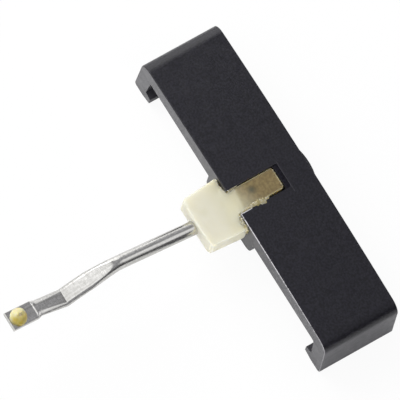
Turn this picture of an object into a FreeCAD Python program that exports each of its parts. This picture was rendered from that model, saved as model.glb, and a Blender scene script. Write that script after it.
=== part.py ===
import FreeCAD, Part
import math
import os

# Turntable stylus, in millimetres. X runs along the clip's strap, -Y points forward along the cantilever,
# and Z points up out of the strap, towards the record. The clip's two lips stand on Z = 0.

# Clip: a strap with a hooked wall at each end
clip_length = 17.5              # outer face to outer face of the end walls, at their tops
clip_width = 4.38
clip_height = 3.64              # from the lips' undersides to the top of the crown
strap_thickness = 1.27          # at the middle of the strap
crown_radius = 120.0            # the strap's top is slightly arched along its length
end_radius = 0.7                # from the strap's top into the end wall
edge_radius = 0.05              # along the strap's front and rear edges
wall_thickness = 0.95           # end wall, where it leaves the strap
wall_splay = 0.12               # how far the end wall's outer face leans out at its foot
wall_root_thickness = 0.94      # end wall, from its foot's outer face to the undercut behind the lip
inner_corner_radius = 0.15
foot_radius = 0.2               # outer lower corner of the end wall
lip_reach = 1.37                # from the foot's outer face to the lip's edge
lip_root_height = 0.84
lip_edge_height = 0.68
lip_lead_in = 0.75              # slope that guides the lip over the cartridge
lip_lead_in_height = 0.2

# Hub: the thick middle under the strap, flat in front and arched behind
hub_offset = -0.11              # its centre line and its slot's, from the clip's
hub_width = 4.22
hub_depth = 1.3                 # below the strap's underside
hub_nose_radius = 3.3
hub_nose_proud = 0.1            # how far the nose stands out behind the strap
hub_nose_step = 0.1             # from the top of the crown down to the nose's top
hub_corner_radius = 0.8         # from the nose into the sides
hub_edge_radius = 0.5           # along the lower rim, behind the flat front

# Slot in the strap, open at the front, with the hub as its floor and a shallow ledge behind its end
slot_width = 1.4
slot_corner_radius = 0.14
ledge_length = 0.25
ledge_depth = 0.06              # below the top of the crown

# Holder: a T-shaped elastomer moulding, its block in front of the strap and its stem in the slot
holder_offset = -0.17           # the block's centre line, from the clip's
block_rear_width = 3.13
block_front_width = 2.85
block_length = 2.08
block_height = 1.3
block_bulge = 0.1               # the front face is slightly arched
block_corner_radius = 0.17
block_edge_radius = 0.1
block_top_drop = 0.3            # from the top of the crown down to the block's top
neck_length = 0.54              # sloping part of the stem, next to the block
tail_length = 2.69              # whole stem, from the strap's front edge
tail_top_drop = 0.1             # from the top of the crown down to the tail's top
tail_corner_radius = 0.16
stem_left_clearance = 0.04      # from the slot's left wall to the stem
neck_right_clearance = 0.01     # from the slot's right wall to the neck, at the block
tail_right_clearance = 0.13     # from the slot's right wall to the tail
tail_end_clearance = 0.06       # from the slot's end to the tail's

# Cantilever: a round tube, pressed flat while it bends down, then cranked up to the tip's platform
tube_diameter = 0.75
tube_wall = 0.1
tube_exit_drop = 0.6            # from the block's top to the tube's axis at the front face
tube_embed = 0.8                # length bonded in the block
bond_line = 0.01                # radial room for the bond between tube and block
tube_length = 5.07              # from the block's front face to the start of the pressed part
tube_slope = 16.3               # degrees above the strap's plane
dip_length = 3.05               # along the pressed, curved part
dip_start_slope = -9.0
dip_end_slope = -31.5
press_length = 1.5              # over which the round section turns flat
dip_width = 0.98
dip_thickness = 0.36
flat_crown = 0.01               # the pressed flats are very slightly arched across
ramp_length = 1.97
ramp_slope = 26.6
ramp_end_width = 0.96
ramp_end_thickness = 0.29
platform_length = 1.62
platform_slope = 10.5
platform_width = 1.06
platform_thickness = 0.26

# Jewel and the adhesive bead around its shank
jewel_from_end = 0.52           # from the platform's end to the jewel's axis
jewel_diameter = 0.3
jewel_clearance = 0.01
jewel_shank_height = 0.33       # above the platform
jewel_cone_angle = 55.0         # included angle of the point, in degrees
jewel_point_radius = 0.02
bead_diameter = 0.9
bead_height = 0.29
bead_rim_height = 0.1           # the bead is full at its rim, not pointed

# Counts and directions
dip_stations = 4                # lengths that the pressed part is lofted over
V = FreeCAD.Vector
RIGHT = V(1, 0, 0)
BACK = V(0, 1, 0)
UP = V(0, 0, 1)
ORIGIN = V(0, 0, 0)


def line(a, b):
    return Part.makeLine(a, b)


def arc(a, through, b):
    return Part.Arc(a, through, b).toShape()


# Where an arc of this radius, tangent to both sides of a corner, starts, bulges and ends
def corner_arc(corner, towards_before, towards_after, radius):
    before = V(towards_before).normalize()
    after = V(towards_after).normalize()
    half_angle = before.getAngle(after) / 2
    setback = radius / math.tan(half_angle)
    middle = (before + after).normalize() * (radius / math.sin(half_angle) - radius)
    return corner + before * setback, corner + middle, corner + after * setback


# A flat face from (point, radius) corners, where a corner with no radius stays sharp
def rounded_face(corners):
    count = len(corners)
    spans = []
    for i in range(count):
        point, radius = corners[i]
        before = corners[i - 1][0] - point
        after = corners[(i + 1) % count][0] - point
        spans.append(corner_arc(point, before, after, radius))
    edges = []
    for i in range(count):
        start, middle, end = spans[i]
        if corners[i][1] > 0:
            edges.append(arc(start, middle, end))
        edges.append(line(end, spans[(i + 1) % count][0]))
    return Part.Face(Part.Wire(edges))


def edges_where(shape, test):
    return [edge for edge in shape.Edges if test(edge.BoundBox)]


# A direction in the plane of the cantilever's centre line, at a slope above the strap's plane
def along(slope):
    angle = math.radians(slope)
    return V(0, -math.cos(angle), math.sin(angle))


# The upward normal of a surface with that slope
def normal_of(slope):
    angle = math.radians(slope)
    return V(0, math.sin(angle), math.cos(angle))


# Levels and places that several pieces share
half_length = clip_length / 2
front_y = -clip_width / 2
rear_y = clip_width / 2
underside_z = clip_height - strap_thickness
hub_floor_z = underside_z - hub_depth
slot_left_x = hub_offset - slot_width / 2
slot_right_x = hub_offset + slot_width / 2
slot_length = tail_length + tail_end_clearance
block_top_z = clip_height - block_top_drop
tail_top_z = clip_height - tail_top_drop
block_front_y = front_y - block_length - block_bulge


# The clip seen from the front: crowned top, rounded ends, walls that hook inwards at their feet
def clip_profile():
    crown_centre = UP * (clip_height - crown_radius)
    corner_x = half_length - end_radius
    corner_rise = math.sqrt((crown_radius - end_radius) ** 2 - corner_x ** 2)
    corner_centre = crown_centre + V(corner_x, 0, corner_rise)
    outward = (corner_centre - crown_centre).normalize()
    crown_end = corner_centre + outward * end_radius
    corner_middle = corner_centre + (outward + RIGHT).normalize() * end_radius
    wall_top = corner_centre + RIGHT * end_radius

    foot_x = half_length + wall_splay
    lip_x = foot_x - lip_reach
    foot = RIGHT * foot_x
    foot_start, foot_middle, foot_end = corner_arc(foot, wall_top - foot, -RIGHT, foot_radius)
    lip_foot = V(lip_x + lip_lead_in, 0, 0)
    lip_nose = V(lip_x, 0, lip_lead_in_height)
    lip_edge = V(lip_x, 0, lip_edge_height)
    lip_root = V(foot_x - wall_root_thickness, 0, lip_root_height)
    inner_corner = V(half_length - wall_thickness, 0, underside_z)
    fillet_start, fillet_middle, fillet_end = corner_arc(
        inner_corner, lip_root - inner_corner, -RIGHT, inner_corner_radius)

    right_end = [
        arc(crown_end, corner_middle, wall_top),
        line(wall_top, foot_start),
        arc(foot_start, foot_middle, foot_end),
        line(foot_end, lip_foot),
        line(lip_foot, lip_nose),
        line(lip_nose, lip_edge),
        line(lip_edge, lip_root),
        line(lip_root, fillet_start),
        arc(fillet_start, fillet_middle, fillet_end),
    ]
    left_end = [edge.mirror(ORIGIN, RIGHT) for edge in right_end]
    strap_top = arc(V(-crown_end.x, 0, crown_end.z), UP * clip_height, crown_end)
    strap_under = line(fillet_end, V(-fillet_end.x, 0, fillet_end.z))
    outline = Part.sortEdges([strap_top, strap_under] + right_end + left_end)[0]
    return Part.Face(Part.Wire(outline))


# The hub's arched nose stands a little proud of the strap's rear edge
def make_hub():
    left_x = hub_offset - hub_width / 2
    right_x = hub_offset + hub_width / 2
    height = clip_height - hub_nose_step - hub_floor_z
    nose_y = rear_y + hub_nose_proud
    side_y = nose_y - hub_nose_radius + math.sqrt(hub_nose_radius ** 2 - (hub_width / 2) ** 2)
    left_front = V(left_x, front_y, hub_floor_z)
    right_front = V(right_x, front_y, hub_floor_z)
    right_side = V(right_x, side_y, hub_floor_z)
    nose = V(hub_offset, nose_y, hub_floor_z)
    left_side = V(left_x, side_y, hub_floor_z)
    outline = Part.Wire([
        line(left_front, right_front),
        line(right_front, right_side),
        arc(right_side, nose, left_side),
        line(left_side, left_front),
    ])
    hub = Part.Face(outline).extrude(UP * height)
    behind_y = front_y + hub_edge_radius
    uprights = edges_where(hub, lambda box: box.ZLength > hub_edge_radius and box.YMin > behind_y)
    hub = hub.makeFillet(hub_corner_radius, uprights)
    lower_rim = edges_where(hub, lambda box: box.ZMax < hub_floor_z + hub_edge_radius and box.YMax > behind_y)
    return hub.makeFillet(hub_edge_radius, lower_rim)


# A cut from a floor up through the strap's top, open in front and with rounded corners at its end
def slot_cut(length, floor_z):
    overrun = clip_width
    return rounded_face([
        (V(slot_left_x, front_y - overrun, floor_z), 0),
        (V(slot_right_x, front_y - overrun, floor_z), 0),
        (V(slot_right_x, front_y + length, floor_z), slot_corner_radius),
        (V(slot_left_x, front_y + length, floor_z), slot_corner_radius),
    ]).extrude(UP * 2 * strap_thickness)


def make_clip():
    profile = clip_profile()
    profile.translate(BACK * front_y)
    strap = profile.extrude(BACK * clip_width)
    rims = edges_where(strap, lambda box: box.YLength < edge_radius and box.XLength > half_length)
    top_rims = [edge for edge in rims if edge.BoundBox.ZMax > underside_z + edge_radius]
    strap = strap.makeFillet(edge_radius, top_rims)
    ledge = slot_cut(slot_length + ledge_length, clip_height - ledge_depth)
    slot = slot_cut(slot_length, underside_z)
    return strap.fuse(make_hub()).removeSplitter().cut(ledge).cut(slot)


# The cantilever's centre line: a straight tube, an arc while it is pressed, a ramp and the platform
tube_exit = V(holder_offset, block_front_y, block_top_z - tube_exit_drop)
tube_start = tube_exit - along(tube_slope) * tube_embed
tube_end = tube_exit + along(tube_slope) * tube_length


# The slope and place of the arc at a share of its length
def dip_at(share):
    slope = dip_start_slope + (dip_end_slope - dip_start_slope) * share
    half_turn = (slope - dip_start_slope) / 2
    chord = dip_length * share
    if half_turn:
        chord *= math.sin(math.radians(half_turn)) / math.radians(half_turn)
    return slope, tube_end + along(dip_start_slope + half_turn) * chord


dip_end = dip_at(1)[1]
ramp_end = dip_end + along(ramp_slope) * ramp_length
platform_end = ramp_end + along(platform_slope) * platform_length
platform_up = normal_of(platform_slope)

# The jewel's seat is the middle of its hole's rim, on the platform's top
jewel_seat = platform_end - along(platform_slope) * jewel_from_end + platform_up * (platform_thickness / 2)


def make_block():
    rear_half = block_rear_width / 2
    front_half = block_front_width / 2
    shoulder_y = front_y - block_length
    floor_z = block_top_z - block_height
    block = rounded_face([
        (V(holder_offset - rear_half, front_y, floor_z), 0),
        (V(holder_offset - front_half, shoulder_y, floor_z), block_corner_radius),
        (V(holder_offset, block_front_y, floor_z), block_front_width),
        (V(holder_offset + front_half, shoulder_y, floor_z), block_corner_radius),
        (V(holder_offset + rear_half, front_y, floor_z), 0),
    ]).extrude(UP * block_height)
    rims = edges_where(block, lambda box: box.ZLength < block_edge_radius)
    front_rims = [edge for edge in rims if edge.BoundBox.YMin < front_y - block_edge_radius]
    return block.makeFillet(block_edge_radius, front_rims)


# The stem lies on the slot's floor. Along the neck it narrows while its top climbs from the block to the tail
def make_stem():
    left_x = slot_left_x + stem_left_clearance
    neck_right_x = slot_right_x - neck_right_clearance
    tail_right_x = slot_right_x - tail_right_clearance
    neck_end_y = front_y + neck_length
    tail_end_y = front_y + tail_length
    plan = rounded_face([
        (V(left_x, front_y, underside_z), 0),
        (V(neck_right_x, front_y, underside_z), 0),
        (V(tail_right_x, neck_end_y, underside_z), 0),
        (V(tail_right_x, tail_end_y, underside_z), tail_corner_radius),
        (V(left_x, tail_end_y, underside_z), tail_corner_radius),
    ]).extrude(UP * clip_height)
    side_x = left_x - clip_width
    side = rounded_face([
        (V(side_x, front_y - block_length, 0), 0),
        (V(side_x, tail_end_y + tail_length, 0), 0),
        (V(side_x, tail_end_y + tail_length, tail_top_z), 0),
        (V(side_x, neck_end_y, tail_top_z), 0),
        (V(side_x, front_y, block_top_z), 0),
        (V(side_x, front_y - block_length, block_top_z), 0),
    ]).extrude(RIGHT * 3 * clip_width)
    return plan.common(side)


def make_holder():
    bore_radius = tube_diameter / 2 + bond_line
    bore = Part.makeCylinder(bore_radius, tube_embed + tube_diameter, tube_start, along(tube_slope))
    return make_block().fuse(make_stem()).removeSplitter().cut(bore)


# A section across the cantilever: two broad arcs, above and below, joined by two side arcs
def section(centre, slope, width, thickness, flat_width, crown):
    side = RIGHT * (width / 2)
    top = normal_of(slope) * (thickness / 2)
    shoulder = normal_of(slope) * (thickness / 2 - crown)
    flat = RIGHT * (flat_width / 2)
    return Part.Wire([
        arc(centre - flat + shoulder, centre + top, centre + flat + shoulder),
        arc(centre + flat + shoulder, centre + side, centre + flat - shoulder),
        arc(centre + flat - shoulder, centre - top, centre - flat - shoulder),
        arc(centre - flat - shoulder, centre - side, centre - flat + shoulder),
    ])


# A full circle made of the same four arcs, so that it lofts into the flat sections
def round_section(centre, slope, diameter):
    quarter = diameter * math.sqrt(0.5)
    return section(centre, slope, diameter, diameter, quarter, (diameter - quarter) / 2)


def flat_section(centre, slope, width, thickness):
    return section(centre, slope, width, thickness, width - thickness, flat_crown)


# Between round and flat, each measure of the section eases from the tube's to the pressed one's
def pressed_section(share):
    slope, centre = dip_at(share)
    ease = math.sin(math.pi / 2 * min(1, share * dip_length / press_length))
    quarter = tube_diameter * math.sqrt(0.5)
    start = (tube_diameter, tube_diameter, quarter, (tube_diameter - quarter) / 2)
    end = (dip_width, dip_thickness, dip_width - dip_thickness, flat_crown)
    return section(centre, slope, *[a + (b - a) * ease for a, b in zip(start, end)])


def make_cantilever():
    bend_slope = (dip_end_slope + ramp_slope) / 2
    bend = flat_section(dip_end, bend_slope, dip_width, dip_thickness)
    crease = flat_section(ramp_end, (ramp_slope + platform_slope) / 2, ramp_end_width, ramp_end_thickness)
    end = flat_section(platform_end, platform_slope, platform_width, platform_thickness)
    pressed = [round_section(tube_end, tube_slope, tube_diameter)]
    pressed += [pressed_section(i / dip_stations) for i in range(1, dip_stations)]
    dip = Part.makeLoft(pressed + [bend], True, False)
    blade = Part.makeLoft([bend, crease, end], True, True)

    tube_run = tube_embed + tube_length
    tube = Part.makeCylinder(tube_diameter / 2, tube_run, tube_start, along(tube_slope))
    bore = Part.makeCylinder(tube_diameter / 2 - tube_wall, tube_run, tube_start, along(tube_slope))
    hole_radius = jewel_diameter / 2 + jewel_clearance
    hole_start = jewel_seat - platform_up * (2 * platform_thickness)
    hole = Part.makeCylinder(hole_radius, 3 * platform_thickness, hole_start, platform_up)
    return tube.cut(bore).fuse([dip, blade]).removeSplitter().cut(hole)


# Revolve a profile drawn in the XZ plane, then set its axis on the platform
def turn_on_seat(edges):
    solid = Part.Face(Part.Wire(edges)).revolve(ORIGIN, UP, 360)
    solid.rotate(ORIGIN, RIGHT, -platform_slope)
    solid.translate(jewel_seat)
    return solid


# The jewel stands in its hole, flush with the platform's underside, and ends in a small ball
def make_jewel():
    radius = jewel_diameter / 2
    half_angle = math.radians(jewel_cone_angle / 2)
    cone_base = V(radius, 0, jewel_shank_height)
    apex_z = jewel_shank_height + radius / math.tan(half_angle)
    ball = UP * (apex_z - jewel_point_radius / math.sin(half_angle))
    touch_direction = V(math.cos(half_angle), 0, math.sin(half_angle))
    touch = ball + touch_direction * jewel_point_radius
    between = ball + (touch_direction + UP).normalize() * jewel_point_radius
    top = ball + UP * jewel_point_radius
    foot = UP * -platform_thickness
    foot_rim = V(radius, 0, -platform_thickness)
    return turn_on_seat([
        line(foot, foot_rim),
        line(foot_rim, cone_base),
        line(cone_base, touch),
        arc(touch, between, top),
        line(top, foot),
    ])


# The bead's outside is an arc from its rim to its crest against the jewel
def make_bead():
    inner = jewel_diameter / 2 + jewel_clearance
    outer = bead_diameter / 2
    inner_foot = V(inner, 0, 0)
    outer_foot = V(outer, 0, 0)
    rim = V(outer, 0, bead_rim_height)
    crest = V(inner, 0, bead_height)
    arc_span = V(outer - inner, 0, bead_height - bead_rim_height)
    shoulder = V(inner, 0, bead_rim_height) + arc_span * math.sqrt(0.5)
    return turn_on_seat([
        line(inner_foot, outer_foot),
        line(outer_foot, rim),
        arc(rim, shoulder, crest),
        line(crest, inner_foot),
    ])


pieces = {
    "clip": make_clip(),
    "stylus_holder": make_holder(),
    "cantilever": make_cantilever(),
    "stylus_tip": make_jewel(),
    "tip_adhesive": make_bead(),
}

os.makedirs("parts", exist_ok=True)
for name, shape in pieces.items():
    shape.exportStep("parts/" + name + ".step")
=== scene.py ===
import math

import bpy
import numpy as np
from mathutils import Matrix, Vector


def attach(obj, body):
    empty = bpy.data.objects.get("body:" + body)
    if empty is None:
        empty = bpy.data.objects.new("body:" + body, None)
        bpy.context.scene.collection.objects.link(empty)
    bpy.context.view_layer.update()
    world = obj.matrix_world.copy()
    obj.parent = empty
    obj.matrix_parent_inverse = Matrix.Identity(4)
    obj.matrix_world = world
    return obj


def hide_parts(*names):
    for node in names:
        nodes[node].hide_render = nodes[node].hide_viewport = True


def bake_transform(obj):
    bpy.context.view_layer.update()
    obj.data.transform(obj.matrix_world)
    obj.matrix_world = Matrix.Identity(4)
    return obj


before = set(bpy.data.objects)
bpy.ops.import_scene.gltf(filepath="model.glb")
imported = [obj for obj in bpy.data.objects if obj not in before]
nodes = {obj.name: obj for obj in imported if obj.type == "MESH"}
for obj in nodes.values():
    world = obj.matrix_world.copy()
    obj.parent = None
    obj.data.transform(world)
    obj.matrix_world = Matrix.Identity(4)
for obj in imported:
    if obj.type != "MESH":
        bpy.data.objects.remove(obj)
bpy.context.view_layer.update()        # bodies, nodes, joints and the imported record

mm = 0.001
scene = bpy.context.scene


# sRGB hex to the linear colour that the shaders take
def toLinear(hexColour):
    channels = np.array([int(hexColour[i:i + 2], 16) for i in (1, 3, 5)]) / 255.0
    linear = np.where(channels <= 0.04045, channels / 12.92, ((channels + 0.055) / 1.055) ** 2.4)
    return (*linear.tolist(), 1.0)


# one node with its settings; each input is a fixed value or the socket that feeds it
def addNode(tree, kind, inputs=None, **settings):
    node = tree.nodes.new(kind)
    for name, value in settings.items():
        setattr(node, name, value)
    for socket, source in (inputs or {}).items():
        if isinstance(source, bpy.types.NodeSocket):
            tree.links.new(source, node.inputs[socket])
        else:
            node.inputs[socket].default_value = source
    return node


# the emptied node tree of a new material or world
def emptyTree(owner):
    owner.use_nodes = True
    owner.node_tree.nodes.clear()
    return owner.node_tree


# a material with a Principled shader whose fixed values are set on its own sockets
def newFinish(name, values):
    finish = bpy.data.materials.new(name)
    tree = emptyTree(finish)
    shader = addNode(tree, "ShaderNodeBsdfPrincipled", values)
    addNode(tree, "ShaderNodeOutputMaterial", {"Surface": shader.outputs["BSDF"]})
    return finish, tree, shader


# puts a finish on a piece that keeps its CAD shape
def dress(piece, finish):
    piece.data.materials.clear()
    piece.data.materials.append(finish)


# the object's own coordinates (m)
def ownPlace(tree):
    return addNode(tree, "ShaderNodeTexCoord").outputs["Object"]


# a vector's single axes
def axesOf(tree, vector):
    return addNode(tree, "ShaderNodeSeparateXYZ", {0: vector}).outputs


# one maths node on sockets and plain numbers
def combine(tree, operation, *terms):
    return addNode(tree, "ShaderNodeMath", dict(enumerate(terms)), operation=operation).outputs[0]


# several shares multiplied in a node tree
def product(tree, sources):
    result = sources[0]
    for source in sources[1:]:
        result = combine(tree, "MULTIPLY", result, source)
    return result


# an even change from one pair of values to another, level beyond them
def rescale(tree, source, stops, ends, **settings):
    values = {0: source, 1: stops[0], 2: stops[1], 3: ends[0], 4: ends[1]}
    return addNode(tree, "ShaderNodeMapRange", values, **settings).outputs[0]


# a soft step in a node tree: 0 at the first of two values, 1 at the second, whichever is larger
def ramp(tree, source, stops, unit=1):
    ends = (0.0, 1.0) if stops[0] < stops[1] else (1.0, 0.0)
    sortedStops = [stop * unit for stop in sorted(stops)]
    return rescale(tree, source, sortedStops, ends, interpolation_type="SMOOTHSTEP")


# a soft band: it comes in over the first two of four values and goes out over the last two
def band(tree, source, stops, unit=1):
    return product(tree, [ramp(tree, source, stops[:2], unit), ramp(tree, source, stops[:1:-1], unit)])


# a share that grows towards a point (mm): 0 at the first distance, 1 at the second
def nearPoint(tree, place, point, reach):
    away = addNode(tree, "ShaderNodeVectorMath", {0: place, 1: [v * mm for v in point]}, operation="DISTANCE")
    return ramp(tree, away.outputs["Value"], reach, mm)


# a noise whose lumps have about one size, or three sizes where they are drawn out
def noise(tree, place, kind, unit=mm):
    scale = 1.0
    if "sizes" in kind:
        stretch = [1 / (size * unit) for size in kind["sizes"]]
        place = addNode(tree, "ShaderNodeMapping", {"Vector": place, "Scale": stretch}).outputs[0]
    else:
        scale = 1 / (kind["size"] * unit)
    values = {"Vector": place, "Scale": scale, "Detail": kind["detail"]}
    return addNode(tree, "ShaderNodeTexNoise", values).outputs["Fac"]


# one colour laid over another by a share; each is a hex colour or a socket
def layer(tree, share, under, over):
    under, over = (toLinear(colour) if isinstance(colour, str) else colour for colour in (under, over))
    return addNode(tree, "ShaderNodeMix", {0: share, 6: under, 7: over}, data_type="RGBA").outputs[2]


# a fine relief on a shader, its depth in mm
def addRelief(tree, shader, height, relief):
    values = {"Height": height, "Strength": relief["strength"], "Distance": relief["depth"] * mm}
    tree.links.new(addNode(tree, "ShaderNodeBump", values).outputs[0], shader.inputs["Normal"])


# 0 before start, 1 after end, with a soft start and finish
def smooth(value, start, end):
    t = np.clip((value - start) / (end - start), 0, 1)
    return t * t * (3 - 2 * t)


# a closed skin from rings (rows x columns x 3, mm): neighbours in a ring and neighbouring rings are joined by
# quads, and each end is closed by a fan to the middle of its last ring
def skinPiece(name, rings, finish, sharpAngle):
    rows, columns, _ = rings.shape
    points = np.vstack([rings.reshape(-1, 3), rings[0].mean(0), rings[-1].mean(0)])
    row, column = np.meshgrid(np.arange(rows - 1), np.arange(columns), indexing="ij")
    after = (column + 1) % columns
    quads = np.stack([row * columns + column, row * columns + after,
                      (row + 1) * columns + after, (row + 1) * columns + column], -1).reshape(-1, 4)
    rim = np.arange(columns)
    rimAfter = (rim + 1) % columns
    firstFan = np.stack([np.full(columns, rows * columns), rimAfter, rim], -1)
    lastFan = np.stack([np.full(columns, rows * columns + 1), (rows - 1) * columns + rim,
                        (rows - 1) * columns + rimAfter], -1)
    a, b, c = (points[quads[:, k]] for k in (0, 1, 2))
    outward = np.einsum("ij,ij->i", a - points.mean(0), np.cross(b - a, c - a)).sum()
    turn = 1 if outward > 0 else -1
    faces = [f[:, ::turn].tolist() for f in (quads, firstFan, lastFan)]
    mesh = bpy.data.meshes.new(name)
    mesh.from_pydata((points * mm).tolist(), [], faces[0] + faces[1] + faces[2])
    mesh.shade_smooth()
    mesh.set_sharp_from_angle(angle=math.radians(sharpAngle))
    mesh.materials.append(finish)
    piece = bpy.data.objects.new(name, mesh)
    scene.collection.objects.link(piece)
    print(name + ":", rows * columns, "points")
    return piece


# stores one vector per vertex (mm), so that a pattern can follow the surface
def storeAlong(piece, name, vectors):
    ends = np.vstack([vectors.reshape(-1, 3), vectors[0].mean(0), vectors[-1].mean(0)])
    attribute = piece.data.attributes.new(name, "FLOAT_VECTOR", "POINT")
    attribute.data.foreach_set("vector", ends.astype(np.float32).ravel())


# Camera: the photograph looks down steeply on the stylus, from in front and to one side
cameraView = {
    "azimuth": 39.73, "elevation": 70.32, "roll": 19.57,    # degrees
    "distance": 462.5,                                      # mm, to the aim point's depth
    "aim": (0.0, 0.0, 2.64),                                # mm, the strap's middle
    "aimRight": 3.468, "aimUp": 0.494,                      # mm, the aim point from the picture's centre
    "pictureWidth": 20.058,                                 # mm across the picture at that depth
    "sensor": 36.0,                                         # mm
    "clipRange": (0.01, 10.0),                              # m
}


def placeCamera():
    az, el, roll = (math.radians(cameraView[k]) for k in ("azimuth", "elevation", "roll"))
    level = np.array([math.cos(az), math.sin(az), 0.0])
    back = np.array([math.sin(az) * math.cos(el), -math.cos(az) * math.cos(el), math.sin(el)])
    upright = np.cross(back, level)
    right = math.cos(roll) * level + math.sin(roll) * upright
    up = -math.sin(roll) * level + math.cos(roll) * upright
    place = (np.array(cameraView["aim"]) + back * cameraView["distance"]
             - right * cameraView["aimRight"] - up * cameraView["aimUp"])
    data = bpy.data.cameras.new("camera")
    data.sensor_width = cameraView["sensor"]
    data.lens = cameraView["sensor"] * cameraView["distance"] / cameraView["pictureWidth"]
    data.clip_start, data.clip_end = cameraView["clipRange"]
    camera = bpy.data.objects.new("camera", data)
    turned = Matrix((right, up, back)).transposed().to_4x4()
    camera.matrix_world = Matrix.Translation(Vector(place * mm)) @ turned
    scene.collection.objects.link(camera)
    scene.camera = camera
    print("camera placed, lens", round(data.lens), "mm")


# Studio: a white sweep under a grey room, lit by soft panels
studio = {
    "floorSize": 0.8,                        # m
    "floorColour": "#fdfdfc", "glowColour": "#ffffff",
    "whiteToCamera": 0.93,                   # share of plain white in the floor, the rest takes the shadow
    "whiteToMetal": 0.16,                    # the same for what reflects or refracts the floor
    "roomColour": "#a6a6ab", "roomStrength": 1.0,
    "horizonToward": (0.94, 0.30, 0.10),     # the dark far side of the room, low beyond the strap's +X end
    "horizonHalfAngles": (20.0, 38.0),       # degrees
    "horizonKept": 0.22,
    "panels": {                              # direction from the object, width and distance in m, radiance
        "keyPanel": {"toward": (-0.18, -0.57, 0.80), "width": 0.40, "distance": 0.34, "radiance": 0.91},
        "sidePanel": {"toward": (-0.68, -0.20, 0.70), "width": 0.17, "distance": 0.32, "radiance": 4.2},
        "leftPanel": {"toward": (-0.89, 0.20, 0.42), "width": 0.30, "distance": 0.34, "radiance": 1.36},
        "rightPanel": {"toward": (0.31, 0.745, 0.59), "width": 0.19, "distance": 0.34, "radiance": 0.84},
        "backPanel": {"toward": (-0.58, 0.79, 0.17), "width": 0.15, "distance": 0.34, "radiance": 0.9},
        "edgePanel": {"toward": (-0.85, -0.42, 0.30), "width": 0.17, "distance": 0.34, "radiance": 1.1},
    },
    "accent": {                              # a snooted lamp on the holder's right side
        "toward": (0.94, -0.25, 0.24), "aim": (1.0, -3.8, 2.2),     # direction, and a point in mm
        "distance": 0.30, "softness": 0.0015,                       # m
        "cone": 1.9, "blend": 0.6, "power": 1.8,                    # degrees, share of the cone, W
    },
}


# white paper: matt, and plain white where the camera or a bright surface looks at it
def layFloor():
    half = studio["floorSize"] / 2
    mesh = bpy.data.meshes.new("floor")
    corners = [(-half, -half, 0), (half, -half, 0), (half, half, 0), (-half, half, 0)]
    mesh.from_pydata(corners, [], [(0, 1, 2, 3)])
    floor = bpy.data.objects.new("floor", mesh)
    scene.collection.objects.link(floor)
    paper = bpy.data.materials.new("whitePaper")
    tree = emptyTree(paper)
    ray = addNode(tree, "ShaderNodeLightPath").outputs
    mirrorRay = combine(tree, "MAXIMUM", ray["Is Glossy Ray"], ray["Is Transmission Ray"])
    mirrorShare = combine(tree, "MULTIPLY", mirrorRay, studio["whiteToMetal"])
    share = combine(tree, "MULTIPLY_ADD", ray["Is Camera Ray"], studio["whiteToCamera"], mirrorShare)
    matt = addNode(tree, "ShaderNodeBsdfDiffuse", {"Color": toLinear(studio["floorColour"])})
    glow = addNode(tree, "ShaderNodeEmission", {"Color": toLinear(studio["glowColour"]), "Strength": 1.0})
    mixed = addNode(tree, "ShaderNodeMixShader", {0: share, 1: matt.outputs[0], 2: glow.outputs[0]})
    addNode(tree, "ShaderNodeOutputMaterial", {"Surface": mixed.outputs[0]})
    mesh.materials.append(paper)
    print("floor laid")


# the room: even grey, falling off to its dark far side
def paintRoom():
    scene.world = bpy.data.worlds.new("studioRoom")
    tree = emptyTree(scene.world)
    inner, outer = (math.cos(math.radians(d)) for d in studio["horizonHalfAngles"])
    direction = addNode(tree, "ShaderNodeTexCoord").outputs["Generated"]
    toHorizon = Vector(studio["horizonToward"]).normalized()
    facing = addNode(tree, "ShaderNodeVectorMath", {0: direction, 1: toHorizon}, operation="DOT_PRODUCT")
    kept = rescale(tree, facing.outputs["Value"], (outer, inner), (1.0, studio["horizonKept"]),
                   interpolation_type="SMOOTHSTEP")
    strength = combine(tree, "MULTIPLY", kept, studio["roomStrength"])
    values = {"Color": toLinear(studio["roomColour"]), "Strength": strength}
    grey = addNode(tree, "ShaderNodeBackground", values)
    addNode(tree, "ShaderNodeOutputWorld", {"Surface": grey.outputs[0]})
    scene.view_settings.view_transform = "Standard"
    print("room painted")


# one lamp that looks back along a direction at a point (mm)
def hangLamp(name, kind, toward, distance, aim=(0, 0, 0), **settings):
    lamp = bpy.data.lights.new(name, kind)
    for setting, value in settings.items():
        setattr(lamp, setting, value)
    direction = Vector(toward).normalized()
    hung = bpy.data.objects.new(name, lamp)
    hung.location = Vector(aim) * mm + direction * distance
    hung.rotation_euler = direction.to_track_quat("Z", "Y").to_euler()
    scene.collection.objects.link(hung)


# the panels are square area lamps, their power worked out from the radiance that a mirror would see
def hangLamps():
    for name, panel in studio["panels"].items():
        hangLamp(name, "AREA", panel["toward"], panel["distance"], shape="SQUARE", size=panel["width"],
                 energy=panel["radiance"] * math.pi * panel["width"] ** 2)
    accent = studio["accent"]
    hangLamp("accent", "SPOT", accent["toward"], accent["distance"], accent["aim"], energy=accent["power"],
             shadow_soft_size=accent["softness"], spot_size=math.radians(accent["cone"]),
             spot_blend=accent["blend"])
    print("lamps hung:", len(studio["panels"]), "panels and an accent")


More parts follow.
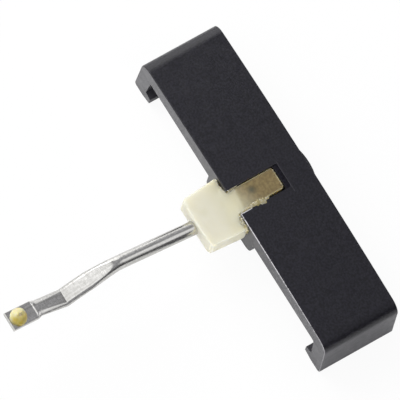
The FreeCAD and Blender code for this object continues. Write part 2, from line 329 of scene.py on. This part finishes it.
# Clip: black acetal, springy, injection moulded in a fine satin tool. It looks almost flat black from above,
# with a clear grey reflection of the paper on the walls that are seen at a glancing angle.
clipLook = {
    "ior": 1.48, "roughness": (0.29, 0.37),
    "black": "#0a0910", "worn": "#1c1b23", "rubbed": "#48474b", "edgeHighlight": "#cfcdcf", "hookLight": "#403f44",
    "mottle": {"size": 0.4, "detail": 4.0},           # mm, slow changes in the moulded skin
    "mottleRange": (0.3, 0.7),
    "grain": {"size": 0.11, "detail": 2.0},           # mm, tool grain, coarser than the real one so it shows
    "relief": {"strength": 0.7, "depth": 0.0095},     # mm
    "wornRange": (0.32, 0.68), "patchRange": (0.25, 0.50),     # the grain's values where the worn grain and the painted highlights show
    "wallTilt": (0.40, 0.05),                         # the normal's z where rubbing begins and is full
    "streaks": {"sizes": (1.6, 1.6, 0.16), "detail": 3.0},     # mm, rubbing marks along the strap
    "streakRange": (-0.45, 1.05),
    "hookLightAcross": (8.3, 8.1), "hookLightHeights": (1.5, 1.1),       # mm, x from the middle and z, inside the hooks
    "hookLightTilt": (0.3, 0.8),                           # the normal's z where the painted light begins and is full
    "frontEdge": (-2.10, -2.13), "edgeHeights": (3.50, 3.56),  # mm, y of the front edge, and z of the top
    "edgeTurn": (-0.12, -0.40),                       # two axes of the normal multiplied, on an edge with a painted highlight
    "cornerHighlight": 0.35,
    "highlightStart": (0.55, 0.60), "highlightFade": (16.0, 0.60),     # mm, x along the front edge
    "slotEdge": (0.545, 0.575, 0.61, 0.65),           # mm, x across the slot's right edge
    "slotHighlight": (-1.45, -1.60),                      # mm, y along it
    "ledgeAcross": (0.95, 0.85),                      # mm, x from the middle
    "ledgeAlong": (0.50, 0.56, 0.81, 0.83), "ledgeRear": (0.80, 0.81, 0.835, 0.85),    # mm, y
    "ledgeHeights": (3.625, 3.60),                    # mm, z
    "ledgeHighlight": 0.04,
    "gloss": (0.5, 0.16),                             # specular level of the moulding and of its ledge
}


def finishClip():
    look = clipLook
    finish, tree, shader = newFinish("mouldedBlackAcetal", {"IOR": look["ior"], "Metallic": 0.0})
    place = ownPlace(tree)
    axes = axesOf(tree, place)
    facing = axesOf(tree, addNode(tree, "ShaderNodeTexCoord").outputs["Normal"])
    mottle = noise(tree, place, look["mottle"])
    grain = noise(tree, place, look["grain"])
    colour = layer(tree, ramp(tree, grain, look["wornRange"]), look["black"], look["worn"])
    # the upright walls are rubbed a streaky grey by handling and by the cartridge
    onWall = ramp(tree, combine(tree, "ABSOLUTE", facing["Z"]), look["wallTilt"])
    streaky = ramp(tree, noise(tree, place, look["streaks"]), look["streakRange"])
    colour = layer(tree, product(tree, [onWall, streaky]), colour, look["rubbed"])
    # painted light behind the lips: a lighter grey on the upward faces inside the hooks, which lie in shade
    fromMiddle = combine(tree, "ABSOLUTE", axes["X"])
    litHook = product(tree, [ramp(tree, fromMiddle, look["hookLightAcross"], mm),
                           ramp(tree, axes["Z"], look["hookLightHeights"], mm),
                           ramp(tree, facing["Z"], look["hookLightTilt"])])
    colour = layer(tree, litHook, colour, look["hookLight"])
    # painted highlights, broken up by the grain, on the top front edge and on the slot's right edge, where
    # the strap's edges catch the light
    patchy = ramp(tree, grain, look["patchRange"])
    onFront = ramp(tree, axes["Y"], look["frontEdge"], mm)
    onTop = ramp(tree, axes["Z"], look["edgeHeights"], mm)
    onEdge = ramp(tree, product(tree, [facing["Y"], facing["Z"]]), look["edgeTurn"])
    frontEdgeHighlight = product(tree, [onFront, onEdge, ramp(tree, axes["X"], look["highlightStart"], mm),
                           ramp(tree, axes["X"], look["highlightFade"], mm), patchy])
    slotLine = product(tree, [band(tree, axes["X"], look["slotEdge"], mm),
                              ramp(tree, axes["Y"], look["slotHighlight"], mm), onTop, patchy])
    paintedHighlights = combine(tree, "MAXIMUM", frontEdgeHighlight, slotLine)
    # the ledge behind the slot has a lower specular level, so it shows darker, and its rear edge gets a faint
    # painted highlight
    nearSlot = ramp(tree, fromMiddle, look["ledgeAcross"], mm)
    inLedge = product(tree, [nearSlot, band(tree, axes["Y"], look["ledgeAlong"], mm),
                             ramp(tree, axes["Z"], look["ledgeHeights"], mm)])
    gloss = rescale(tree, inLedge, (0.0, 1.0), look["gloss"])
    tree.links.new(gloss, shader.inputs["Specular IOR Level"])
    ledgeLine = product(tree, [nearSlot, band(tree, axes["Y"], look["ledgeRear"], mm), onTop])
    paintedHighlights = combine(tree, "MULTIPLY_ADD", ledgeLine, look["ledgeHighlight"], paintedHighlights)
    # painted highlights on the end walls' upright front corners too, but weaker
    onCorner = ramp(tree, product(tree, [facing["X"], facing["Y"]]), look["edgeTurn"])
    corner = product(tree, [onCorner, onFront, patchy])
    paintedHighlights = combine(tree, "MULTIPLY_ADD", corner, look["cornerHighlight"], paintedHighlights)
    tree.links.new(layer(tree, paintedHighlights, colour, look["edgeHighlight"]), shader.inputs["Base Color"])
    rough = rescale(tree, mottle, look["mottleRange"], look["roughness"])
    tree.links.new(rough, shader.inputs["Roughness"])
    addRelief(tree, shader, grain, look["relief"])
    dress(nodes["clip"], finish)
    print("clip finished")


# Cantilever: aluminium tube, drawn, then pressed flat and cranked at its outer end
cantileverShape = {
    "x": -0.17, "start": (-3.602, 2.516),          # mm, the tube's inner end in the block, as y and z
    "tubeRadius": 0.375,
    "lengths": {"tube": 5.87, "dip": 3.05, "ramp": 1.97, "platform": 1.55},
    "tubeSlope": 16.3, "dipSlopes": (-9.0, -31.5), "rampSlope": 26.6, "platformSlope": 10.5,     # degrees
    "bendLengths": {"tubeEnd": 0.70, "dipEnd": 0.10, "rampEnd": 0.05},
    "creaseLength": 0.09, "creaseSlope": -16.0,    # the line pressed in where the platform begins
    "pressLead": 0.1, "pressLength": 1.5,          # mm before and after the tube's end, where it goes flat
    "trimLead": 0.4,                               # mm before the tube's end, where the flat's cut begins
    "roundCuts": (1.1, 1.02),                      # the cut over the tube's radius while it clears the tube
    "flare": (0.15, 0.05),                         # mm before and after the ramp's end, where it widens
    "halfWidths": {"dip": 0.49, "rampEnd": (0.45, 0.52), "end": 0.53},
    "halfThicknesses": {"dip": 0.18, "rampEnd": 0.145, "end": 0.13},
    "shoulders": {"dip": 1.35, "ramp": (1.35, 1.015), "platform": 2.8},    # the rounding's rise past the flat
    "shoulderSpans": {"dipEnd": (0.3, 0.1), "rampEnd": (0.06, 0.06)},      # mm before and after the change
    "edgeSoftness": 0.012,                         # mm, rounding where the flat meets the sides
    "jewelFromEnd": 0.52,
    "rows": 460, "columns": 96, "sharpAngle": 50,
}


# the blade's centre line: slope as a function of the distance along it, added up to y and z
def cantileverPath(distance):
    shape = cantileverShape
    tubeEnd = shape["lengths"]["tube"]
    dipEnd = tubeEnd + shape["lengths"]["dip"]
    rampEnd = dipEnd + shape["lengths"]["ramp"]
    bends = {name: length / 2 for name, length in shape["bendLengths"].items()}
    crease = shape["creaseLength"] / 2
    stops = [0, tubeEnd - bends["tubeEnd"], tubeEnd + bends["tubeEnd"], dipEnd - bends["dipEnd"],
             dipEnd + bends["dipEnd"], rampEnd - crease - bends["rampEnd"], rampEnd - crease,
             rampEnd + crease, rampEnd + crease + bends["rampEnd"]]
    slopes = [shape["tubeSlope"], shape["tubeSlope"], *shape["dipSlopes"], shape["rampSlope"],
              shape["rampSlope"], shape["creaseSlope"], shape["creaseSlope"], shape["platformSlope"]]
    slope = np.radians(np.interp(distance, stops, slopes))
    step = np.diff(distance)
    middle = (slope[1:] + slope[:-1]) / 2
    y = shape["start"][0] - np.concatenate([[0], np.cumsum(np.cos(middle) * step)])
    z = shape["start"][1] + np.concatenate([[0], np.cumsum(np.sin(middle) * step)])
    return y, z, slope, (tubeEnd, dipEnd, rampEnd)


# section: an ellipse, as wide as the blade, cut off flat above and below at half the thickness. While the cut
# is higher than the ellipse the tube is round, so the flat begins in a rounded outline, as under a press.
def makeCantilever(finish):
    shape = cantileverShape
    distance = np.linspace(0, sum(shape["lengths"].values()), shape["rows"])
    y, z, slope, (tubeEnd, dipEnd, rampEnd) = cantileverPath(distance)
    end = distance[-1]
    radius = shape["tubeRadius"]
    wide, thick, rise = shape["halfWidths"], shape["halfThicknesses"], shape["shoulders"]
    pressing, pressed = tubeEnd - shape["pressLead"], tubeEnd + shape["pressLength"]
    flare, spans = shape["flare"], shape["shoulderSpans"]
    half = np.interp(distance, [0, pressing, pressed, dipEnd, rampEnd - flare[0], rampEnd + flare[1], end],
                     [radius, radius, wide["dip"], wide["dip"], *wide["rampEnd"], wide["end"]])
    roundCuts = [radius * times for times in shape["roundCuts"]]
    cut = np.interp(distance, [0, pressing, pressed, dipEnd, rampEnd, end],
                    [*roundCuts, thick["dip"], thick["dip"], thick["rampEnd"], thick["end"]])
    shoulderStops = [pressed, dipEnd - spans["dipEnd"][0], dipEnd + spans["dipEnd"][1],
                     rampEnd - spans["rampEnd"][0], rampEnd + spans["rampEnd"][1]]
    shoulder = np.interp(distance, shoulderStops, [rise["dip"], rise["dip"], *rise["ramp"], rise["platform"]])
    tall = radius + (cut * shoulder - radius) * smooth(distance, pressing, pressed)
    angle = np.linspace(0, 2 * np.pi, shape["columns"], endpoint=False)
    across = half[:, None] * np.cos(angle)
    height = tall[:, None] * np.sin(angle)
    over = np.abs(height) - cut[:, None]
    trimmed = np.abs(height) - (over + np.sqrt(over ** 2 + shape["edgeSoftness"] ** 2)) / 2
    trimming = smooth(distance, tubeEnd - shape["trimLead"], tubeEnd)[:, None]
    height = np.sign(height) * (np.abs(height) + (trimmed - np.abs(height)) * trimming)
    rings = np.stack([shape["x"] + across, y[:, None] + height * np.sin(slope)[:, None],
                      z[:, None] + height * np.cos(slope)[:, None]], -1)
    piece = skinPiece("cantilever_skin", rings, finish, shape["sharpAngle"])
    along = np.broadcast_to(distance[:, None], across.shape)
    storeAlong(piece, "alongTube", np.stack([across, along, height], -1))
    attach(piece, "cantilever")
    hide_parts("cantilever")
    seat = np.searchsorted(distance, end - shape["jewelFromEnd"])
    normal = np.array([0, np.sin(slope[seat]), np.cos(slope[seat])])
    return np.array([shape["x"], y[seat], z[seat]]) + normal * cut[seat], normal


# drawn aluminium: a grey metal with fine die lines along it, bright and a little streaky where it was pressed
aluminiumLook = {
    "metal": "#d6d5d1", "dull": "#b8b7b2", "dullRange": (0.12, 0.40),
    "roughness": (0.19, 0.27), "markRange": (0.3, 0.7),
    "dieLines": {"sizes": (0.09, 3.0, 0.09), "detail": 2.0},     # mm, coarser than the real ones so they show
    "pressMarks": {"size": 0.12, "detail": 3.0},                 # mm, coarser than the real ones too
    "relief": {"strength": 0.4, "depth": 0.0007},                # mm
}


def aluminiumFinish():
    look = aluminiumLook
    finish, tree, shader = newFinish("drawnPressedAluminium", {"Metallic": 1.0})
    place = addNode(tree, "ShaderNodeAttribute", attribute_name="alongTube").outputs["Vector"]
    lines = noise(tree, place, look["dieLines"], 1)
    marks = noise(tree, place, look["pressMarks"], 1)
    dulled = rescale(tree, product(tree, [lines, marks]), look["dullRange"], (1.0, 0.0))
    tree.links.new(layer(tree, dulled, look["metal"], look["dull"]), shader.inputs["Base Color"])
    rough = rescale(tree, marks, look["markRange"], look["roughness"])
    tree.links.new(rough, shader.inputs["Roughness"])
    addRelief(tree, shader, lines, look["relief"])
    return finish


# Holder: one soft moulding, T-shaped from above, cast round the tube
holderShape = {
    "outline": [     # x, y and corner radius in mm, once round the T from the block's front left corner
        (-1.595, -4.27, 0.20), (1.255, -4.27, 0.20), (1.395, -2.20, 0.10), (0.52, -2.19, 0.03),
        (0.52, -1.75, 0.05), (0.45, -1.62, 0.05), (0.45, 0.50, 0.16), (-0.77, 0.50, 0.16),
        (-0.77, -2.19, 0.03), (-1.735, -2.20, 0.10)],
    "spacing": 0.05, "arcPoints": 9,
    "middle": (-0.13, -2.70),                     # the top's and the underside's rings close on this point
    "stemMiddle": -0.16,                          # x of the neck and tail
    "blockEnd": (-2.35, -2.15),                   # y where the block gives way to them
    "top": 3.34, "tailTop": 3.54, "bottom": 2.04, "tailBottom": 2.38,      # heights
    "rise": (-2.80, -1.65),                       # y between which the top rises to the tail
    "riseReach": (0.66, 1.10),                    # mm from the stem's middle, over which that rise dies out
    "edges": (0.04, 0.07),                        # rounding of the edges, on the tail and on the block
    "tubeAt": (-0.17, 2.74),                      # x and z where the tube leaves the front face
    "bulge": 0.09, "bulgeReach": (1.45, 0.75),    # the front face's dome, and its reach sideways and up
    "collar": 0.05, "collarRing": (0.30, 0.12),   # where the casting climbs the tube: height, radius, width
    "frontFrom": (3.6, 4.25),                     # mm ahead of the strap's middle, where the front begins
    "wobble": 0.012,                              # mm, unevenness of the hand-cast surface
    "wobbleWaves": [(3.1, 1.7, 0.0, 0.0), (0.0, 2.3, -1.9, 1.0), (4.7, -3.3, 0.0, 2.0)],   # by x, y, z, shift
    "wobbleFrom": (2.1, 2.6), "wobbleHeights": (2.7, 3.2),                 # mm ahead of the middle, and z
    "ragged": 0.05,                               # mm, flash along the block's top rear edge
    "raggedWaves": [(0.6, 13, 0), (0.4, 29, 1), (0.3, 47, 2)],             # share, waves by x, shift
    "raggedAt": (-2.24, 0.09),                    # y of that edge, and its width
    "raggedFrom": (0.70, 0.85), "raggedHeights": (2.8, 3.1),               # mm from the stem's middle, and z
    "opening": (0.02, 0.35, 0.7), "pole": 0.02,   # how far open the underside's rings are, and the last one
    "edgeRings": 9, "wallRings": 20, "topRings": 34, "sharpAngle": 60,
}


# a closed outline, with arcs at its corners and evenly spaced points between, and its outward directions
def roundedOutline(corners, spacing, arcPoints):
    places = np.array([corner[:2] for corner in corners])
    arcs = []
    for k, here in enumerate(places):
        radius = corners[k][2]
        back, on = places[k - 1] - here, places[(k + 1) % len(corners)] - here
        back, on = back / np.linalg.norm(back), on / np.linalg.norm(on)
        half = math.acos(np.clip(back @ on, -1, 1)) / 2
        centre = here + (back + on) / np.linalg.norm(back + on) * radius / math.sin(half)
        reach = radius / math.tan(half)
        t = np.linspace(0, 1, arcPoints)[:, None]
        spokes = (here + back * reach - centre) * (1 - t) + (here + on * reach - centre) * t
        arcs.append(centre + radius * spokes / np.linalg.norm(spokes, axis=1)[:, None])
    pieces = []
    for arc, following in zip(arcs, arcs[1:] + arcs[:1]):
        pieces.append(arc)
        count = max(2, int(np.linalg.norm(following[0] - arc[-1]) / spacing) + 1)
        pieces.append(arc[-1] + (following[0] - arc[-1]) * np.linspace(0, 1, count)[1:-1, None])
    points = np.vstack(pieces)
    along = np.roll(points, -1, 0) - np.roll(points, 1, 0)
    along /= np.linalg.norm(along, axis=1)[:, None]
    return points, np.stack([along[:, 1], -along[:, 0]], -1)


# the outline carried round the moulding's profile: rings open from the underside's middle, turn the lower
# edge, climb the wall, turn the upper edge and close over the top, which is a height for each x and y
def makeHolder(finish):
    shape = holderShape
    outline, outward = roundedOutline(shape["outline"], shape["spacing"], shape["arcPoints"])
    middle = np.array(shape["middle"])
    inBlock = (1 - smooth(outline[:, 1], *shape["blockEnd"]))[None, :, None]
    tailEdge, blockEdge = shape["edges"]
    edge = tailEdge + (blockEdge - tailEdge) * inBlock
    low = shape["tailBottom"] + (shape["bottom"] - shape["tailBottom"]) * inBlock

    def topAt(plan):
        nearStem = 1 - smooth(np.abs(plan[..., :1] - shape["stemMiddle"]), *shape["riseReach"])
        risen = smooth(plan[..., 1:2], *shape["rise"])
        return shape["top"] + (shape["tailTop"] - shape["top"]) * risen * nearStem

    turn = np.linspace(0, np.pi / 2, shape["edgeRings"])[:, None, None]
    opening = np.array(shape["opening"])[:, None, None]
    closing = np.linspace(1, shape["pole"], shape["topRings"])[1:, None, None]
    climb = np.linspace(0, 1, shape["wallRings"])[1:-1, None, None]
    inner = outline - outward * edge
    lowerEdge = outline - outward * edge * (1 - np.sin(turn))
    wall = np.repeat(outline[None], len(climb), 0)
    upperEdge = outline - outward * edge * (1 - np.cos(turn))
    lid = middle + (inner - middle) * closing
    plans = [middle + (inner - middle) * opening, lowerEdge, wall, upperEdge, lid]
    heights = [np.repeat(low, len(opening), 0), low + edge * (1 - np.cos(turn)),
               low + edge + (topAt(outline) - low - 2 * edge) * climb,
               topAt(upperEdge) - edge * (1 - np.sin(turn)), topAt(lid)]
    x, y = np.moveaxis(np.concatenate(plans), 2, 0)
    z = np.concatenate(heights)[..., 0]
    # the front face is a low dome round the tube, with a collar
    beside, above = x - shape["tubeAt"][0], z - shape["tubeAt"][1]
    reachBeside, reachAbove = shape["bulgeReach"]
    dome = np.clip(1 - (beside / reachBeside) ** 2, 0, 1) * np.clip(1 - (above / reachAbove) ** 2, 0, 1)
    ringRadius, ringWidth = shape["collarRing"]
    collar = np.exp(-((np.hypot(beside, above) - ringRadius) / ringWidth) ** 2)
    y = y - (shape["bulge"] * dome + shape["collar"] * collar) * smooth(-y, *shape["frontFrom"])
    # slow unevenness, as the mean of three crossed waves
    waves = [np.sin(byX * x + byY * y + byZ * z + shift) for byX, byY, byZ, shift in shape["wobbleWaves"]]
    uneven = shape["wobble"] * np.abs(sum(waves) / len(waves))
    onTop = smooth(-y, *shape["wobbleFrom"]) * smooth(z, *shape["wobbleHeights"])
    # flash along the block's top rear edge: the edge falls short of the strap by a sum of short waves of x
    short = 1 + sum(share * np.sin(byX * x + shift) for share, byX, shift in shape["raggedWaves"])
    raggedY, raggedWidth = shape["raggedAt"]
    besideStem = smooth(np.abs(x - shape["stemMiddle"]), *shape["raggedFrom"])
    atRear = np.exp(-((y - raggedY) / raggedWidth) ** 2) * besideStem * smooth(z, *shape["raggedHeights"])
    rings = np.stack([x, y - shape["ragged"] * short * atRear, z - uneven * onTop], -1)
    piece = skinPiece("holder_moulding", rings, finish, shape["sharpAngle"])
    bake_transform(piece)
    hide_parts("stylus_holder")


# cast polyurethane elastomer, unpigmented: cream, waxy, light soaks in and comes out a little yellow. The
# tail looks olive brown because it is thin, glued down and lies on black; its rim catches the light.
elastomerLook = {
    "ior": 1.40, "roughness": 0.55,
    "scatter": 0.7, "scatterTint": (1.0, 0.95, 0.8),     # mm, how far light spreads inside, and by colour
    "cream": "#d8d5c3", "warm": "#cfcbb0",
    "clouds": {"size": 0.9, "detail": 3.0}, "cloudRange": (0.52, 1.15),                     # mm
    "yellowing": (-3.6, -2.0),                           # mm, y over which it yellows towards the strap
    "skin": {"size": 0.16, "detail": 2.0}, "relief": {"strength": 0.4, "depth": 0.004},     # mm
    "tail": "#776744", "tailLight": "#8a7a52", "tailRange": (0.3, 0.7), "tailRim": "#bfb389",
    "step": (0.12, (-1.92, -1.72)),                      # slant with x, and y (mm) where cream turns to olive
    "fade": (-0.45, (-2.40, -0.60)), "fadeShare": 0.65,  # the same for the slow part of that change
    "tailMiddle": -0.155, "rimAcross": (0.525, 0.60),    # mm, x, and the rim's distance from it
    "rimEnd": (0.41, 0.48),                              # mm, y
    "stain": (-0.25, -1.02, 3.54), "stainReach": (0.34, 0.0), "stainColour": "#524f3b",     # mm
    # painted shadow: a small dark spot low on the block's right side, by its gap to the strap's hub
    "gapShadow": (1.35, -2.72, 2.09), "gapShadowReach": (0.09, 0.04), "gapShadowColour": "#3a3328",     # mm
}


def elastomerFinish():
    look = elastomerLook
    finish, tree, shader = newFinish("castCreamElastomer", {
        "IOR": look["ior"], "Roughness": look["roughness"], "Subsurface Weight": 1.0,
        "Subsurface Radius": look["scatterTint"], "Subsurface Scale": look["scatter"] * mm})
    place = ownPlace(tree)
    axes = axesOf(tree, place)
    skin = noise(tree, place, look["skin"])
    yellowed = combine(tree, "MAXIMUM", ramp(tree, noise(tree, place, look["clouds"]), look["cloudRange"]),
                       ramp(tree, axes["Y"], look["yellowing"], mm))
    body = layer(tree, yellowed, look["cream"], look["warm"])
    tail = layer(tree, ramp(tree, skin, look["tailRange"]), look["tail"], look["tailLight"])
    stained = nearPoint(tree, place, look["stain"], look["stainReach"])
    tail = layer(tree, stained, tail, look["stainColour"])
    # painted highlight: a lighter rim along the tail's sides and end, where it catches the light
    away = combine(tree, "ABSOLUTE", combine(tree, "SUBTRACT", axes["X"], look["tailMiddle"] * mm))
    rim = combine(tree, "MAXIMUM", ramp(tree, away, look["rimAcross"], mm),
                  ramp(tree, axes["Y"], look["rimEnd"], mm))
    tail = layer(tree, rim, tail, look["tailRim"])
    # cream turns to olive partly in a step and partly in a long fade, both leaning with x
    step, fade = (ramp(tree, combine(tree, "MULTIPLY_ADD", axes["X"], slant, axes["Y"]), stops, mm)
                  for slant, stops in (look["step"], look["fade"]))
    inTail = addNode(tree, "ShaderNodeMix", {0: look["fadeShare"], 2: step, 3: fade}).outputs[0]
    colour = layer(tree, inTail, body, tail)
    # painted shadow in the gap between the block and the strap's hub
    inGapShadow = nearPoint(tree, place, look["gapShadow"], look["gapShadowReach"])
    colour = layer(tree, inGapShadow, colour, look["gapShadowColour"])
    tree.links.new(colour, shader.inputs["Base Color"])
    addRelief(tree, shader, skin, look["relief"])
    return finish


# Glue: a bead beside the tail, and flash squeezed out at the slot's left edge and the block's rear edge
beadsOfGlue = {
    "glue_bead": {       # beside the tail, over the slot's edge; x, y, z in mm, then half width and height
        "path": [(0.56, -2.15, 3.50), (0.53, -1.95, 3.54), (0.50, -1.65, 3.56), (0.50, -1.45, 3.58),
                 (0.53, -1.20, 3.60), (0.58, -0.95, 3.62), (0.60, -0.78, 3.62), (0.54, -0.60, 3.58),
                 (0.47, -0.42, 3.50)],
        "size": [(0.02, 0.03), (0.04, 0.04), (0.06, 0.05), (0.11, 0.07), (0.19, 0.08), (0.21, 0.07),
                 (0.18, 0.07), (0.10, 0.05), (0.02, 0.02)],
        "lumps": 0.28, "waves": (19, 34),
    },
    "rear_flash": {      # along the block's top rear edge, then down its corner
        "path": [(0.54, -2.19, 3.44), (0.72, -2.23, 3.38), (0.95, -2.25, 3.35), (1.15, -2.24, 3.35),
                 (1.34, -2.26, 3.30), (1.41, -2.27, 3.05), (1.40, -2.26, 2.75)],
        "size": [(0.03, 0.03), (0.07, 0.06), (0.08, 0.07), (0.09, 0.07), (0.09, 0.08), (0.07, 0.07),
                 (0.02, 0.02)],
        "lumps": 0.45, "waves": (29, 47),
    },
    "slot_flash": {      # a thin skin where the neck meets the slot's left edge
        "path": [(-0.76, -2.20, 3.46), (-0.79, -2.00, 3.53), (-0.80, -1.80, 3.57), (-0.79, -1.55, 3.57)],
        "size": [(0.02, 0.02), (0.03, 0.03), (0.04, 0.03), (0.01, 0.01)],
        "lumps": 0.35, "waves": (23, 41),
    },
}
glueRings = {
    "rows": 90, "columns": 36, "sharpAngle": 80,
    "upward": (0.3, -0.5, 0.8),                    # roughly, so that a bead's width lies flat
    "lumpShares": (0.6, 0.4), "lumpTwists": (2, 3), "lumpShift": 1,
}


# a bead: an ellipse carried along a path, its size taken from point to point and multiplied by lumps that are
# waves of the distance along it and of the angle around it
def makeBeadsOfGlue(finish):
    angle = np.linspace(0, 2 * np.pi, glueRings["columns"], endpoint=False)
    (slowShare, quickShare), (slowTwist, quickTwist) = glueRings["lumpShares"], glueRings["lumpTwists"]
    for name, bead in beadsOfGlue.items():
        corners, sizes = np.array(bead["path"]), np.array(bead["size"])
        spans = np.concatenate([[0], np.cumsum(np.linalg.norm(np.diff(corners, axis=0), axis=1))])
        t = np.linspace(0, spans[-1], glueRings["rows"])
        path = np.stack([np.interp(t, spans, corners[:, k]) for k in range(3)], -1)
        half = np.stack([np.interp(t, spans, sizes[:, k]) for k in range(2)], -1)
        along = np.gradient(path, axis=0)
        along /= np.linalg.norm(along, axis=1)[:, None]
        side = np.cross(along, np.array(glueRings["upward"]))
        side /= np.linalg.norm(side, axis=1)[:, None]
        up = np.cross(side, along)
        slow, quick = (waves * t[:, None] for waves in bead["waves"])
        slow = np.sin(slow + np.sin(angle) * slowTwist)
        quick = np.sin(quick + quickTwist * np.cos(angle + glueRings["lumpShift"]))
        lumps = 1 + bead["lumps"] * (slowShare * slow + quickShare * quick)
        rings = (path[:, None] + side[:, None] * (half[:, :1] * lumps * np.cos(angle))[..., None]
                 + up[:, None] * (half[:, 1:] * lumps * np.sin(angle))[..., None])
        piece = skinPiece(name, rings, finish, glueRings["sharpAngle"])
        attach(piece, "clip")


# clear contact glue, yellowed: glossy, mostly see-through, with soft little glints
glueLook = {
    "ior": 1.5, "roughness": 0.22, "transmission": 0.62,
    "pale": "#fbf7df", "deep": "#d3c488",
    "patches": {"size": 0.18, "detail": 2.0}, "patchRange": (0.35, 0.65),                  # mm
    "skin": {"size": 0.13, "detail": 1.0}, "relief": {"strength": 0.6, "depth": 0.016},    # mm
}


def glueFinish():
    look = glueLook
    finish, tree, shader = newFinish("yellowedClearGlue", {
        "IOR": look["ior"], "Roughness": look["roughness"], "Transmission Weight": look["transmission"]})
    place = ownPlace(tree)
    deepened = ramp(tree, noise(tree, place, look["patches"]), look["patchRange"])
    tree.links.new(layer(tree, deepened, look["pale"], look["deep"]), shader.inputs["Base Color"])
    addRelief(tree, shader, noise(tree, place, look["skin"]), look["relief"])
    return finish


# Tip: a jewel point in a bead of yellow adhesive
beadShape = {
    "radius": 0.455, "height": 0.46, "rim": 0.05, "sunk": 0.02,     # mm
    "wobble": 0.035, "wobbleWaves": [(1.0, 2, 0.6), (0.7, 3, 2.1), (0.4, 5, 0.0)],     # share, waves, shift
    "roundness": 0.6,                                               # power of the hill, lower is fuller
    "lumps": 0.018, "lumpWaves": (3, 5),                            # mm, waves round the dome and up it
    "underside": (0.02, 0.6, 1.0), "pole": 0.02,                    # how far open its rings are, and the last
    "rows": 26, "columns": 72, "sharpAngle": 70,
}


# a dome over the jewel's seat: its outline wavers with the angle, its height falls off as a rounded hill
def makeBead(finish, seat, normal):
    shape = beadShape
    angle = np.linspace(0, 2 * np.pi, shape["columns"], endpoint=False)
    waver = sum(share * np.sin(waves * angle + shift) for share, waves, shift in shape["wobbleWaves"])
    outline = shape["radius"] * (1 + shape["wobble"] * waver)
    opened = np.concatenate([shape["underside"], np.linspace(1, shape["pole"], shape["rows"])])[:, None]
    hill = np.clip(1 - opened ** 2, 0, 1) ** shape["roundness"]
    around, upward = shape["lumpWaves"]
    lumps = shape["lumps"] * np.sin(around * angle + upward * opened) * 4 * opened * (1 - opened)
    height = shape["rim"] + (shape["height"] - shape["rim"]) * hill + lumps
    height[:len(shape["underside"])] = -shape["sunk"]
    sideways = np.array([1.0, 0, 0])
    forward = np.cross(sideways, normal)
    rings = (seat + (outline * opened * np.cos(angle))[..., None] * sideways
             + (outline * opened * np.sin(angle))[..., None] * forward + height[..., None] * normal)
    piece = skinPiece("tip_bead", rings, finish, shape["sharpAngle"])
    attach(piece, "cantilever")
    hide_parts("tip_adhesive")


# cured epoxy, clear yellow over bright metal: glossy, deep gold, in paler patches, and paler towards -X as a
# painted sheen on the side the lamps light
adhesiveLook = {
    "ior": 1.55, "roughness": 0.24,
    "soaking": 0.6, "scatter": 0.18, "scatterTint": (1.0, 0.8, 0.25),     # mm, how far light spreads inside
    "gold": "#c9b128", "pale": "#d7d0a0",
    "litSidePaling": (0.12, -0.60),                                            # mm, x over which the painted sheen pales it
    "patches": {"size": 0.3, "detail": 2.0}, "patchRange": (0.30, 0.62), "patchShare": 0.45,     # mm
    "skin": {"size": 0.20, "detail": 1.0}, "relief": {"strength": 0.5, "depth": 0.014},          # mm
}


def adhesiveFinish():
    look = adhesiveLook
    finish, tree, shader = newFinish("curedYellowEpoxy", {
        "IOR": look["ior"], "Roughness": look["roughness"], "Subsurface Weight": look["soaking"],
        "Subsurface Radius": look["scatterTint"], "Subsurface Scale": look["scatter"] * mm})
    place = ownPlace(tree)
    axes = axesOf(tree, place)
    patchy = rescale(tree, noise(tree, place, look["patches"]), look["patchRange"], (0.0, 1.0))
    paleShare = combine(tree, "MULTIPLY_ADD", patchy, look["patchShare"],
                   ramp(tree, axes["X"], look["litSidePaling"], mm))
    tree.links.new(layer(tree, paleShare, look["gold"], look["pale"]), shader.inputs["Base Color"])
    addRelief(tree, shader, noise(tree, place, look["skin"]), look["relief"])
    return finish


# synthetic sapphire, ground and polished to a point: hard bright glints on a straw body with smoky veins
jewelLook = {
    "ior": 1.77, "roughness": 0.10, "transmission": 0.15,
    "clear": "#dccf9c", "smoky": "#b7a871", "veins": {"size": 0.08, "detail": 2.0},     # mm
}


def finishJewel():
    look = jewelLook
    finish, tree, shader = newFinish("polishedSapphire", {
        "IOR": look["ior"], "Roughness": look["roughness"], "Transmission Weight": look["transmission"]})
    place = ownPlace(tree)
    veined = layer(tree, noise(tree, place, look["veins"]), look["clear"], look["smoky"])
    tree.links.new(veined, shader.inputs["Base Color"])
    dress(nodes["stylus_tip"], finish)
    print("jewel finished")


placeCamera()
layFloor()
paintRoom()
hangLamps()
finishClip()
jewelSeat, jewelAxis = makeCantilever(aluminiumFinish())
makeHolder(elastomerFinish())
makeBeadsOfGlue(glueFinish())
makeBead(adhesiveFinish(), jewelSeat, jewelAxis)
finishJewel()
